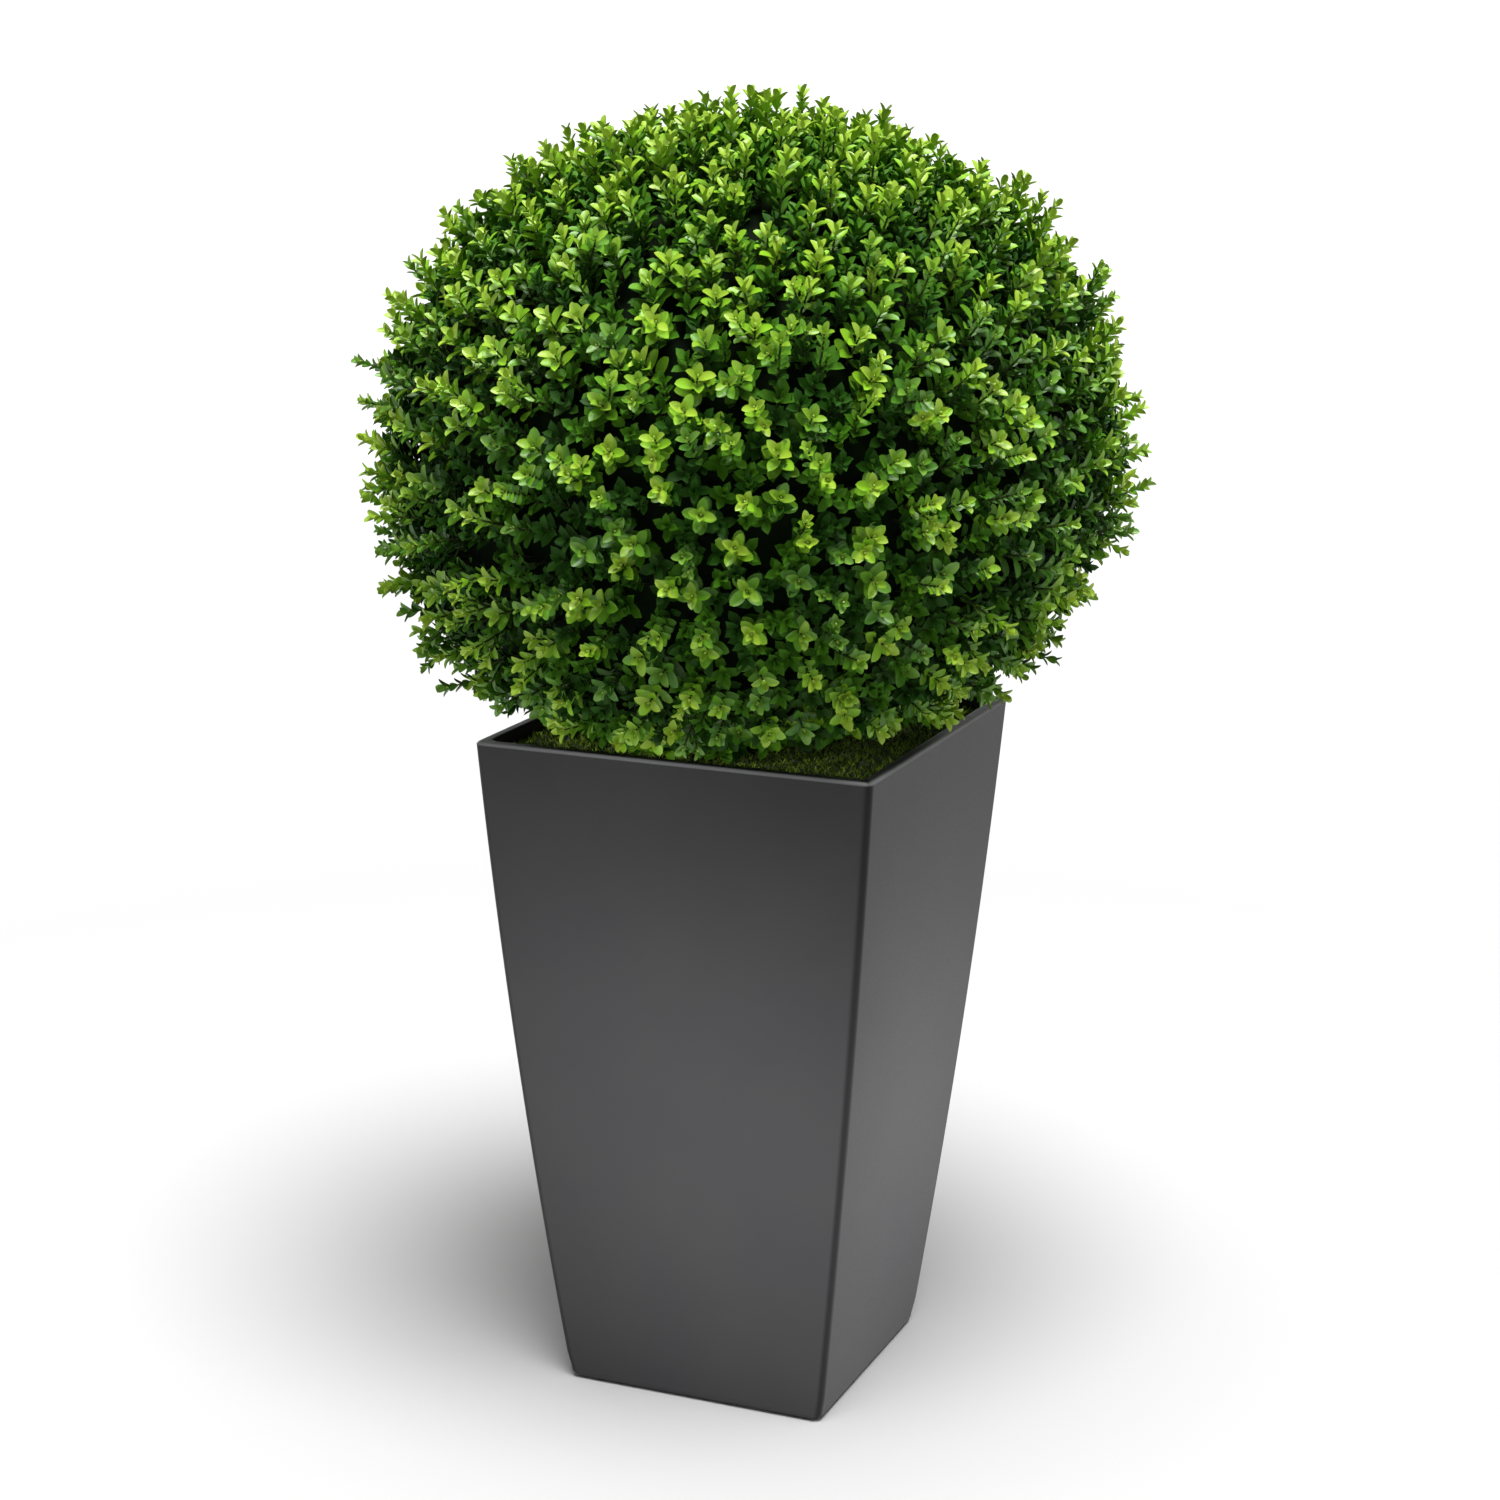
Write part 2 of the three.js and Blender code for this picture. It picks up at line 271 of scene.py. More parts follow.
cove_profile = [(radius, cove_height(radius)) for radius in (
    COVE_MIDDLE, *np.linspace(COVE_FLOOR, COVE_FLOOR + COVE_BEND, BEND_STEPS), COVE_END)]
cove_profile.append(COVE_BRIM)
cove_points = [
    (radius * math.cos(360 * DEGREE * i / COVE_AROUND),
     radius * math.sin(360 * DEGREE * i / COVE_AROUND), height)
    for radius, height in cove_profile for i in range(COVE_AROUND)]
cove_faces = [tuple(reversed(face)) for face in ring_faces(len(cove_profile), COVE_AROUND)]
cove_faces.append(tuple(range(COVE_AROUND)))
floor_material, tree, shader = start_material("studio_paper", {"Roughness": 0.95, "IOR": 1.45})
place = add_node(tree, "ShaderNodeTexCoord").outputs["Object"]
distance = add_node(tree, "ShaderNodeVectorMath", {"operation": "LENGTH"}, {"Vector": place})
far_off = add_node(tree, "ShaderNodeMapRange",
                   {"From Min": PAPER_DARKER_WITHIN, "From Max": PAPER_PALE_BEYOND},
                   {"Value": distance.outputs["Value"]})
shade = add_node(tree, "ShaderNodeMix",
                 {"data_type": "RGBA", 6: linear("#B8B8B8"), 7: linear("#F0F0F0")},
                 {"Factor": far_off.outputs["Result"]})
tree.links.new(shade.outputs[2], shader.inputs["Base Color"])
floor = mesh_piece("studio_floor", cove_points, cove_faces, [floor_material])
floor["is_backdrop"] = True

WORLD_LIGHT = 0.16
world = bpy.data.worlds.new("studio_world")
bpy.context.scene.world = world
world.use_nodes = True
world.node_tree.nodes["Background"].inputs["Color"].default_value = linear("#FFFFFF")
world.node_tree.nodes["Background"].inputs["Strength"].default_value = WORLD_LIGHT

bpy.context.scene.view_settings.view_transform = "Standard"


def add_lamp(name, kind, stand, aim, **settings):
    """A lamp that stands in one place and points at another."""
    data = bpy.data.lights.new(name, kind)
    for setting, value in settings.items():
        setattr(data, setting, value)
    lamp = bpy.data.objects.new(name, data)
    bpy.context.scene.collection.objects.link(lamp)
    lamp.location = stand
    lamp.rotation_euler = (Vector(aim) - Vector(stand)).to_track_quat("-Z", "Y").to_euler()
    return lamp


BALL_MIDDLE = (0.0, 0.0, SEAM_HEIGHT)
SOFT_SPOT = {"spot_blend": 1.0, "shadow_soft_size": 0.14}
add_lamp("overhead_sun", "SUN", (0.6, -0.75, 3.4), BALL_MIDDLE, energy=3.9, angle=30 * DEGREE)
add_lamp("overhead_panel", "AREA", (0.3, -0.5, 4.9), BALL_MIDDLE,
         energy=225, shape="RECTANGLE", size=3.0, size_y=3.0)
add_lamp("front_panel", "AREA", (0.9, -3.6, 1.5), (0.0, 0.0, 0.6),
         energy=4, shape="RECTANGLE", size=1.0, size_y=0.6)
add_lamp("low_spot_left", "SPOT", (-1.9, -4.6, 1.5), (0.0, -0.14, 0.27),
         energy=2350, spot_size=6.5 * DEGREE, **SOFT_SPOT)
add_lamp("low_spot_right", "SPOT", (4.5, -1.9, 1.4), (0.14, 0.0, 0.16),
         energy=4100, spot_size=7.2 * DEGREE, **SOFT_SPOT)
add_lamp("low_spot_back", "SPOT", (-3.2, 3.5, 1.4), (-0.06, 0.06, 0.25),
         energy=3600, spot_size=8.4 * DEGREE, **SOFT_SPOT)
lamps = [lamp for lamp in bpy.data.objects if lamp.type == "LIGHT"]
not_by_spots = bpy.data.collections.new("not_lit_by_the_spots")
not_by_spots.objects.link(floor)
not_by_spots.collection_objects[0].light_linking.link_state = "EXCLUDE"
for lamp in lamps:
    if lamp.data.type == "SPOT":
        lamp.light_linking.receiver_collection = not_by_spots
print("Lamps:", [lamp.name for lamp in lamps])

# %% [markdown]
# ## The planter
# The real planter is moulded in one piece from resin with stone powder, and its corners, rim
# and foot are softly rounded. Blender could bevel a tapered box, but a tower of rings follows
# the bowed sides exactly: it goes up the outside, over the rim and down the inside.

# %% Rings of the planter
CORNER_STEPS = 8
SIDE_STEPS = 5
ROUND_STEPS = 6
WALL_RINGS = 36


def square_ring(half, height):
    """A round-cornered square of points at a height."""
    inner = half - POT_EDGE_RADIUS
    ring = []
    for corner in range(4):
        spin = Matrix.Rotation(90 * DEGREE * corner, 3, "Z")
        for i in range(CORNER_STEPS + 1):
            angle = 90 * DEGREE * i / CORNER_STEPS
            round_part = Vector((math.cos(angle), math.sin(angle), 0)) * POT_EDGE_RADIUS
            ring.append(tuple(spin @ (Vector((inner, inner, height)) + round_part)))
        for i in range(1, SIDE_STEPS):
            x = inner * (1 - 2 * i / SIDE_STEPS)
            ring.append(tuple(spin @ Vector((x, half, height))))
    return ring


def quarter(steps):
    """Angles from 0 to 90 degrees."""
    return [90 * DEGREE * i / steps for i in range(steps + 1)]


side_top = POT_HEIGHT - RIM_RADIUS
profile = [(pot_half(0) - POT_FOOT_RADIUS * (1 - math.sin(a)), POT_FOOT_RADIUS * (1 - math.cos(a)))
           for a in quarter(ROUND_STEPS)]
profile += [(pot_half(h), h) for h in np.linspace(POT_FOOT_RADIUS, side_top, WALL_RINGS)[1:]]
profile += [(pot_half(POT_HEIGHT) - RIM_RADIUS * (1 - math.cos(a)),
             side_top + RIM_RADIUS * math.sin(a)) for a in quarter(ROUND_STEPS)[1:]]
profile += [(pot_half(POT_HEIGHT) - POT_WALL + RIM_RADIUS * (1 - math.sin(a)),
             side_top + RIM_RADIUS * math.cos(a)) for a in quarter(ROUND_STEPS)]
profile += [(pot_half(h) - POT_WALL, h) for h in np.linspace(side_top, POT_FLOOR, WALL_RINGS)[1:]]
rings = [square_ring(half, height) for half, height in profile]
around = len(rings[0])
planter_points = [point for ring in rings for point in ring]
planter_faces = ring_faces(len(rings), around)
planter_faces.append(tuple(reversed(range(around))))
planter_faces.append(tuple(range(len(planter_points) - around, len(planter_points))))
print("Planter rings:", len(rings), "with points in each:", around)

# %% [markdown]
# ### Its finish
# Filled polyester resin, moulded and left satin: charcoal grey, with a faint cloudiness
# where the stone powder settled and a fine sandy grain that spreads the highlights. Its index
# of refraction is that of polyester. Along the rim the colour is painted paler, a painted
# highlight that draws the thin light line that such planters show there. The rounded upright
# corners are painted darker than the sides, a painted dark reflection.

# %% The planter's material and piece
# Where the painted rim highlight starts and is full, in rim radii, and where the painted corner
# reflection does, in corner radii.
RIM_HIGHLIGHT_FROM, RIM_HIGHLIGHT_FULLY, RIM_HIGHLIGHT_TOP = 1.5, 0.5, 0.3
CORNER_REFLECTION_FROM, CORNER_REFLECTION_FULLY = 0.9, 0.3

resin, tree, shader = start_material(
    "moulded_stone_resin", {"IOR": 1.53, "Metallic": 0.0, "Specular IOR Level": 0.13})
place = add_node(tree, "ShaderNodeTexCoord").outputs["Object"]
cloud = add_node(tree, "ShaderNodeTexNoise", {"Scale": per_metre(90 * MM), "Detail": 3.0},
                 {"Vector": place})
tint = add_node(tree, "ShaderNodeMix",
                {"data_type": "RGBA", 6: linear("#232325"), 7: linear("#2B2A2A")},
                {"Factor": cloud.outputs["Fac"]})
axes = add_node(tree, "ShaderNodeSeparateXYZ", {}, {"Vector": place})
sides = [add_node(tree, "ShaderNodeMath", {"operation": "ABSOLUTE"}, {0: axes.outputs[axis]})
         for axis in "XY"]
reach = add_node(tree, "ShaderNodeMath", {"operation": "MAXIMUM"},
                 {i: side.outputs["Value"] for i, side in enumerate(sides)})
# Painted highlight: the rim's outer rounding and its top are painted paler.
outer = add_node(tree, "ShaderNodeMapRange",
                 {"From Min": POT_TOP_HALF - RIM_HIGHLIGHT_FROM * RIM_RADIUS,
                  "From Max": POT_TOP_HALF - RIM_HIGHLIGHT_FULLY * RIM_RADIUS},
                 {"Value": reach.outputs["Value"]})
top = add_node(tree, "ShaderNodeMapRange",
               {"From Min": side_top, "From Max": POT_HEIGHT - RIM_HIGHLIGHT_TOP * RIM_RADIUS},
               {"Value": axes.outputs["Z"]})
painted_rim_highlight = add_node(tree, "ShaderNodeMath", {"operation": "MULTIPLY"},
                  {0: outer.outputs["Result"], 1: top.outputs["Result"]})
# Painted dark reflection: the colour darkens towards the rounded upright corners.
lesser = add_node(tree, "ShaderNodeMath", {"operation": "MINIMUM"},
                  {i: side.outputs["Value"] for i, side in enumerate(sides)})
apart = add_node(tree, "ShaderNodeMath", {"operation": "SUBTRACT"},
                 {0: reach.outputs["Value"], 1: lesser.outputs["Value"]})
corner = add_node(tree, "ShaderNodeMapRange",
                  {"From Min": CORNER_REFLECTION_FROM * POT_EDGE_RADIUS,
                   "From Max": CORNER_REFLECTION_FULLY * POT_EDGE_RADIUS},
                  {"Value": apart.outputs["Value"]})
corner_reflection_tint = add_node(tree, "ShaderNodeMix", {"data_type": "RGBA", 7: linear("#0F0F10")},
                       {"Factor": corner.outputs["Result"], 6: tint.outputs[2]})
rim_highlight_tint = add_node(tree, "ShaderNodeMix", {"data_type": "RGBA", 7: linear("#747476")},
                    {"Factor": painted_rim_highlight.outputs["Value"], 6: corner_reflection_tint.outputs[2]})
tree.links.new(rim_highlight_tint.outputs[2], shader.inputs["Base Color"])
grain = add_node(tree, "ShaderNodeTexNoise", {"Scale": per_metre(1.6 * MM), "Detail": 2.0},
                 {"Vector": place})
satin = add_node(tree, "ShaderNodeMapRange", {"To Min": 0.38, "To Max": 0.52},
                 {"Value": grain.outputs["Fac"]})
tree.links.new(satin.outputs["Result"], shader.inputs["Roughness"])
relief = add_node(tree, "ShaderNodeBump", {"Strength": 0.25, "Distance": 0.1 * MM},
                  {"Height": grain.outputs["Fac"]})
tree.links.new(relief.outputs["Normal"], shader.inputs["Normal"])

planter = mesh_piece("planter_tub", planter_points, planter_faces, [resin])
planter.modifiers.new("even_normals", "WEIGHTED_NORMAL")
settle(planter, "planter_resin", "planter")

# %% [markdown]
# ## The potting fill
# Under the moss the planter is filled with light bark and gravel. Nothing of it shows, so
# its CAD solid stays as it is and only gets a finish: brown chips with dark gaps.

# %% The fill's material
potting, tree, shader = start_material(
    "bark_potting_mix", {"IOR": 1.45, "Roughness": 0.95, "Metallic": 0.0})
place = add_node(tree, "ShaderNodeTexCoord").outputs["Object"]
chips = add_node(tree, "ShaderNodeTexVoronoi", {"Scale": per_metre(9 * MM)}, {"Vector": place})
tint = add_node(tree, "ShaderNodeMix",
                {"data_type": "RGBA", 6: linear("#5A4632"), 7: linear("#1E1711")},
                {"Factor": chips.outputs["Distance"]})
tree.links.new(tint.outputs[2], shader.inputs["Base Color"])
relief = add_node(tree, "ShaderNodeBump", {"Strength": 0.6, "Distance": 2 * MM, "invert": True},
                  {"Height": chips.outputs["Distance"]})
tree.links.new(relief.outputs["Normal"], shader.inputs["Normal"])
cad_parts["potting_fill"].material_slots[0].material = potting
print("Potting fill keeps its solid, with material", potting.name)

# %% [markdown]
# ## The moss
# Dried sheet moss is laid over the fill: soft cushions 20 to 30 mm wide, a fine crumble on
# them, and a rolled edge that leaves a dark gap along the planter's wall. A grid of points
# lifted by a few layers of noise gives that shape, closed underneath by one flat face.

# %% The moss mat
MOSS_POINTS = 141
MOSS_CUSHION = 26 * MM
MOSS_LIFT = 4.4 * MM
MOSS_HOLLOW = 0.5
MOSS_SWELL = 0.6
MOSS_SWELL_SCALE = 0.6
MOSS_CRUMB = 7 * MM
MOSS_CRUMB_LIFT = 2.6 * MM
MOSS_EDGE_DROP = 6 * MM
MOSS_EDGE_POWER = 40
MOSS_CORNER = 4 * MM
MOSS_CORNER_POWER = 8
moss_half = pot_half(MOSS_TOP) - POT_WALL - FIT_GAP


def moss_height(x, y):
    """The moss's height at a place: cushions, crumbs and a rolled edge."""
    edge = min(1.0, max(abs(x), abs(y)) / moss_half) ** MOSS_EDGE_POWER
    spread = Vector((x, y, 0)) / MOSS_CUSHION
    cushion = MOSS_HOLLOW - min(1.0, noise.voronoi(spread)[0][0])
    cushion += MOSS_SWELL * noise.noise(spread * MOSS_SWELL_SCALE)
    crumb = noise.noise(Vector((x, y, 0)) / MOSS_CRUMB)
    return MOSS_TOP + MOSS_LIFT * cushion + MOSS_CRUMB_LIFT * crumb - MOSS_EDGE_DROP * edge


def moss_plan(u, v):
    """A point of the square mat, its corners drawn in to clear the planter's round ones."""
    half = moss_half - MOSS_CORNER * (u * v) ** MOSS_CORNER_POWER
    return u * half, v * half


steps = np.linspace(-1, 1, MOSS_POINTS)
plan = [moss_plan(u, v) for v in steps for u in steps]
moss_points = [(x, y, moss_height(x, y)) for x, y in plan]
last = MOSS_POINTS - 1
moss_faces = [
    (row * MOSS_POINTS + i, row * MOSS_POINTS + i + 1,
     (row + 1) * MOSS_POINTS + i + 1, (row + 1) * MOSS_POINTS + i)
    for row in range(last) for i in range(last)
]
border = list(range(last))
border += [row * MOSS_POINTS + last for row in range(last)]
border += [last * MOSS_POINTS + i for i in range(last, 0, -1)]
border += [row * MOSS_POINTS for row in range(last, 0, -1)]
under = len(moss_points)
low_half = (pot_half(FILL_TOP) - POT_WALL - FIT_GAP) / moss_half
moss_points += [(plan[i][0] * low_half, plan[i][1] * low_half, FILL_TOP + FIT_GAP) for i in border]
count = len(border)
moss_faces += [(border[(i + 1) % count], border[i], under + i, under + (i + 1) % count)
               for i in range(count)]
moss_faces.append(tuple(under + i for i in reversed(range(count))))
print("Moss grid points:", MOSS_POINTS ** 2)

# %% [markdown]
# ### Its finish
# Preserved moss is dull and dark, with olive tips on near-black hollows. The colour follows
# two sizes of noise, the cushions and the crumbs, and a deep bump adds the finest tangle.

# %% The moss's material and piece
moss_finish, tree, shader = start_material(
    "preserved_sheet_moss", {"IOR": 1.45, "Roughness": 0.95, "Metallic": 0.0, "Sheen Weight": 0.15})
place = add_node(tree, "ShaderNodeTexCoord").outputs["Object"]
tangle = add_node(tree, "ShaderNodeTexNoise",
                  {"Scale": per_metre(5 * MM), "Detail": 4.0, "Roughness": 0.75}, {"Vector": place})
patch = add_node(tree, "ShaderNodeTexNoise", {"Scale": per_metre(24 * MM), "Detail": 2.0},
                 {"Vector": place})
dark = add_node(tree, "ShaderNodeMix",
                {"data_type": "RGBA", 6: linear("#1C2406"), 7: linear("#33440E")},
                {"Factor": patch.outputs["Fac"]})
spread = add_node(tree, "ShaderNodeMapRange", {"From Min": 0.42, "From Max": 0.62},
                  {"Value": tangle.outputs["Fac"]})
tint = add_node(tree, "ShaderNodeMix", {"data_type": "RGBA", 7: linear("#5E7A1C")},
                {"Factor": spread.outputs["Result"], 6: dark.outputs[2]})
tree.links.new(tint.outputs[2], shader.inputs["Base Color"])
relief = add_node(tree, "ShaderNodeBump", {"Strength": 0.9, "Distance": 1.2 * MM},
                  {"Height": tangle.outputs["Fac"]})
tree.links.new(relief.outputs["Normal"], shader.inputs["Normal"])
settle(mesh_piece("moss_mat", moss_points, moss_faces, [moss_finish]), "sheet_moss", "moss")

# %% [markdown]
# ### Moss fibres
# A bump alone leaves the mat looking like sand, so its tips are real: some thousands of short
# leaning blades a few millimetres long, dyed in three olive greens. Each is a flat pointed
# strip of three triangles, and one joined mesh holds them all.

# %% Blades of moss
BLADES = 15000
BLADE_SEED = 17
BLADE_LENGTH = (2.5 * MM, 5.5 * MM)
BLADE_WIDTH = 1.0 * MM
BLADE_LEAN = 0.7
BLADE_EDGE_GAP = 4 * MM
BLADE_OUTLINE = [(-0.5, 0.0), (0.5, 0.0), (0.4, 0.6), (-0.4, 0.6), (0.0, 1.0)]
BLADE_FACES = [(0, 1, 2), (0, 2, 3), (3, 2, 4)]
MOSS_DYES = ["#6A861E", "#88A42A", "#465E10"]
sow = np.random.default_rng(BLADE_SEED)
spots = sow.uniform(-1, 1, (BLADES, 2)) * (moss_half - BLADE_EDGE_GAP)
feet = np.array([(x, y, moss_height(x, y)) for x, y in spots.tolist()])
ways = np.column_stack([BLADE_LEAN * sow.standard_normal((BLADES, 2)), np.ones(BLADES)])
ways *= (sow.uniform(*BLADE_LENGTH, BLADES) / np.linalg.norm(ways, axis=1))[:, None]
sides = np.cross(ways, sow.standard_normal((BLADES, 3)))
sides *= BLADE_WIDTH / np.linalg.norm(sides, axis=1, keepdims=True)
blade_points = np.stack(
    [feet + across * sides + along * ways for across, along in BLADE_OUTLINE], axis=1)
blade_faces = np.array(BLADE_FACES)[None] + len(BLADE_OUTLINE) * np.arange(BLADES)[:, None, None]
moss_dyes = [start_material(f"preserved_moss_fibre_{i + 1}", {
    "Base Color": linear(code), "IOR": 1.45, "Roughness": 0.8, "Metallic": 0.0,
})[0] for i, code in enumerate(MOSS_DYES)]
blade_dyes = np.repeat(sow.integers(0, len(moss_dyes), BLADES), len(BLADE_FACES))
tufts = mesh_piece("moss_fibres", blade_points.reshape(-1, 3), blade_faces.reshape(-1, 3),
                   moss_dyes, blade_dyes)
settle(tufts, "sheet_moss", "moss")

# %% [markdown]
# ## The stem
# A short wooden stem carries the ball. It flares into a few root swellings at its foot and
# its bark is cut into long uneven ridges. A tube of points, its radius pushed in and out by
# noise that is stretched along the stem, gives ridges that catch the light.

# %% The stem
STEM_AROUND = 60
STEM_RINGS = 90
BARK_RIDGE = 7 * MM
BARK_STRETCH = 5
BARK_DEPTH = 1.0 * MM
BARK_SET_IN = 0.6
BARK_FALL_OFF, BARK_FINER, BARK_LAYERS = 1.0, 2.0, 3
stem_foot = FILL_TOP + FIT_GAP
stem_points = []
for height in np.linspace(stem_foot, STEM_TOP, STEM_RINGS):
    flare = max(0.0, 1 - (height - stem_foot) / STEM_FLARE_HEIGHT)
    part = (height - stem_foot) / (STEM_TOP - stem_foot)
    for i in range(STEM_AROUND):
        angle = 360 * DEGREE * i / STEM_AROUND
        radius = STEM_RADIUS + (STEM_TIP_RADIUS - STEM_RADIUS) * part + STEM_FLARE * flare ** 2
        radius *= 1 + STEM_ROOT_SWELL * flare * math.cos(STEM_ROOTS * angle)
        x, y = radius * math.cos(angle), radius * math.sin(angle)
        ridge = noise.fractal(Vector((x, y, height / BARK_STRETCH)) / BARK_RIDGE,
                              BARK_FALL_OFF, BARK_FINER, BARK_LAYERS)
        shrink = 1 - BARK_DEPTH * (BARK_SET_IN - ridge) / radius
        stem_points.append((x * shrink, y * shrink, height))
stem_faces = ring_faces(STEM_RINGS, STEM_AROUND)
stem_faces.append(tuple(reversed(range(STEM_AROUND))))
stem_faces.append(tuple(range(len(stem_points) - STEM_AROUND, len(stem_points))))

bark, tree, shader = start_material(
    "dry_stem_bark", {"IOR": 1.45, "Roughness": 0.85, "Metallic": 0.0})
place = add_node(tree, "ShaderNodeTexCoord").outputs["Object"]
along = add_node(tree, "ShaderNodeMapping", {"Scale": (1, 1, 1 / BARK_STRETCH)}, {"Vector": place})
ridges = add_node(tree, "ShaderNodeTexNoise", {"Scale": per_metre(5 * MM), "Detail": 5.0},
                  {"Vector": along.outputs["Vector"]})
tint = add_node(tree, "ShaderNodeMix",
                {"data_type": "RGBA", 6: linear("#2E241A"), 7: linear("#85705A")},
                {"Factor": ridges.outputs["Fac"]})
tree.links.new(tint.outputs[2], shader.inputs["Base Color"])
relief = add_node(tree, "ShaderNodeBump", {"Strength": 0.7, "Distance": 0.8 * MM},
                  {"Height": ridges.outputs["Fac"]})
tree.links.new(relief.outputs["Normal"], shader.inputs["Normal"])
settle(mesh_piece("stem_bark", stem_points, stem_faces, [bark]), "stem_bark", "stem")

# %% [markdown]
# ## The hollow ball
# Behind the leaves of such a ball are two moulded half shells that hold the twigs. They show
# only as the darkness between the sprigs, so their near black green is painted shade for that
# darkness. They are dented and set deep. Each is a dome of rings, closed by a flat face at the
# seam.

# %% The two half shells
SHELL_DEPTH = 60 * MM
SHELL_BOTTOM = 553 * MM
SHELL_RINGS = 40
SHELL_AROUND = 120
SHELL_LAST_CLIMB = 89.5 * DEGREE
SHELL_DENT = 5 * MM
SHELL_DENT_WIDTH = 25 * MM

shell_painted_shade, tree, shader = start_material(
    "painted_shade_moulded_polyethylene",
    {"IOR": 1.51, "Metallic": 0.0, "Specular IOR Level": 0.05})
place = add_node(tree, "ShaderNodeTexCoord").outputs["Object"]
dapple = add_node(tree, "ShaderNodeTexNoise", {"Scale": per_metre(14 * MM), "Detail": 3.0},
                  {"Vector": place})
# Painted shade: this near black green stands for the darkness between the sprigs.
tint = add_node(tree, "ShaderNodeMix",
                {"data_type": "RGBA", 6: linear("#030901"), 7: linear("#0A1804")},
                {"Factor": dapple.outputs["Fac"]})
tree.links.new(tint.outputs[2], shader.inputs["Base Color"])
dull = add_node(tree, "ShaderNodeMapRange", {"To Min": 0.6, "To Max": 0.85},
                {"Value": dapple.outputs["Fac"]})
tree.links.new(dull.outputs["Result"], shader.inputs["Roughness"])


def half_shell(side):
    """One dented dome, from the seam to its pole."""
    points = []
    for ring in range(SHELL_RINGS + 1):
        climb = side * SHELL_LAST_CLIMB * ring / SHELL_RINGS
        for i in range(SHELL_AROUND):
            bearing = 360 * DEGREE * i / SHELL_AROUND
            reach = float(ball_reach(climb, bearing)) - SHELL_DEPTH
            way = Vector((math.cos(climb) * math.cos(bearing),
                          math.cos(climb) * math.sin(bearing), math.sin(climb)))
            point = way * (reach + SHELL_DENT * noise.noise(way * reach / SHELL_DENT_WIDTH))
            point.z = side * max(FIT_GAP / 2, side * point.z) if ring else side * FIT_GAP / 2
            point.z = max(point.z + SEAM_HEIGHT, SHELL_BOTTOM)
            points.append(tuple(point))
    faces = ring_faces(SHELL_RINGS + 1, SHELL_AROUND)
    faces.append(tuple(reversed(range(SHELL_AROUND))))
    faces.append(tuple(range(len(points) - SHELL_AROUND, len(points))))
    return points, faces if side > 0 else [tuple(reversed(face)) for face in faces]


HALVES = {"upper": 1, "lower": -1}
for half, side in HALVES.items():
    shell = mesh_piece(f"half_shell_{half}", *half_shell(side), [shell_painted_shade])
    settle(shell, "box_foliage", f"foliage_{half}")

# %% [markdown]
# ## Where the sprigs stand
# The solids set their sprigs in level rows round the ball, evenly spaced and then nudged. The
# same rule is written again here with rows that are closer, more nudged and go lower, so about
# a thousand sprigs of life size take the place of the large ones. Below the ball the rows stop
# where the moss and rim begin. A second, closer set places the short twigs between the sprigs.

# %% Rows of sprigs
SPRIG_SPACING = 32.5 * MM
SPRIG_JITTER = 0.38
SPRIG_SEED = 2207
SPRIG_LOWEST = 62 * DEGREE
FILLER_SPACING = 20.5 * MM
FILLER_SET_BACK = 26 * MM
CORE_DEPTH = 44 * MM
RANDOM_FACTOR = 1664525
RANDOM_STEP = 1013904223
RANDOM_RANGE = 2 ** 32


def seeded_random(seed):
    """A function that gives numbers from 0 to 1, the same each time for one seed."""
    state = [seed]

    def draw():
        state[0] = (state[0] * RANDOM_FACTOR + RANDOM_STEP) % RANDOM_RANGE
        return state[0] / RANDOM_RANGE

    return draw


def sprig_rows(side, last_climb, spacing, random):
    """Each sprig's climb, bearing, share of the varying reach, and turn about its own axis."""
    radius = BALL_RADIUS - CORE_DEPTH / 2
    rows = math.ceil(last_climb * radius / spacing)
    step = last_climb / rows
    sprigs = []
    for row in np.arange(0.5, rows):
        area = 2 * math.pi * radius ** 2 * step * math.cos(row * step)
        count = round(area / spacing ** 2)
        start = 360 * DEGREE * random()
        for i in range(count):
            nudges = [SPRIG_JITTER * (2 * random() - 1) for _ in range(2)]
            sprigs.append((
                side * (row + nudges[0]) * step,
                start + (i + nudges[1]) / count * 360 * DEGREE,
                2 * random() - 1,
                180 * DEGREE * random(),
            ))
    return np.array(sprigs)


row_random = seeded_random(SPRIG_SEED)
placed, placed_between = (
    {"lower": sprig_rows(-1, SPRIG_LOWEST, spacing, row_random),
     "upper": sprig_rows(1, 90 * DEGREE, spacing, row_random)}
    for spacing in (SPRIG_SPACING, FILLER_SPACING)
)
print("Sprigs placed:", {half: len(rows) for half, rows in placed.items()})

# %% [markdown]
# ## How a sprig grows
# Each twig leaves the shell nearly straight out, leans a little at random and bends towards
# the light. The lowest ones are bent up by the moss and the rim that they rest on. The twigs
# that stand out furthest are slender, with smaller leaves held closer below the tip. A quarter
# of the twigs carry a side shoot. Each spray's tone is drawn at random, and towards the top of
# the ball more sprays get the lighter tones, which is painted top light.
# A twig is kept as a few numbers, a root, a first and a last direction and a length, so any
# place along it can be worked out at once. A main twig whose tip would pass the clip box, which
# lies a little within the solids' own box, is cut short there.

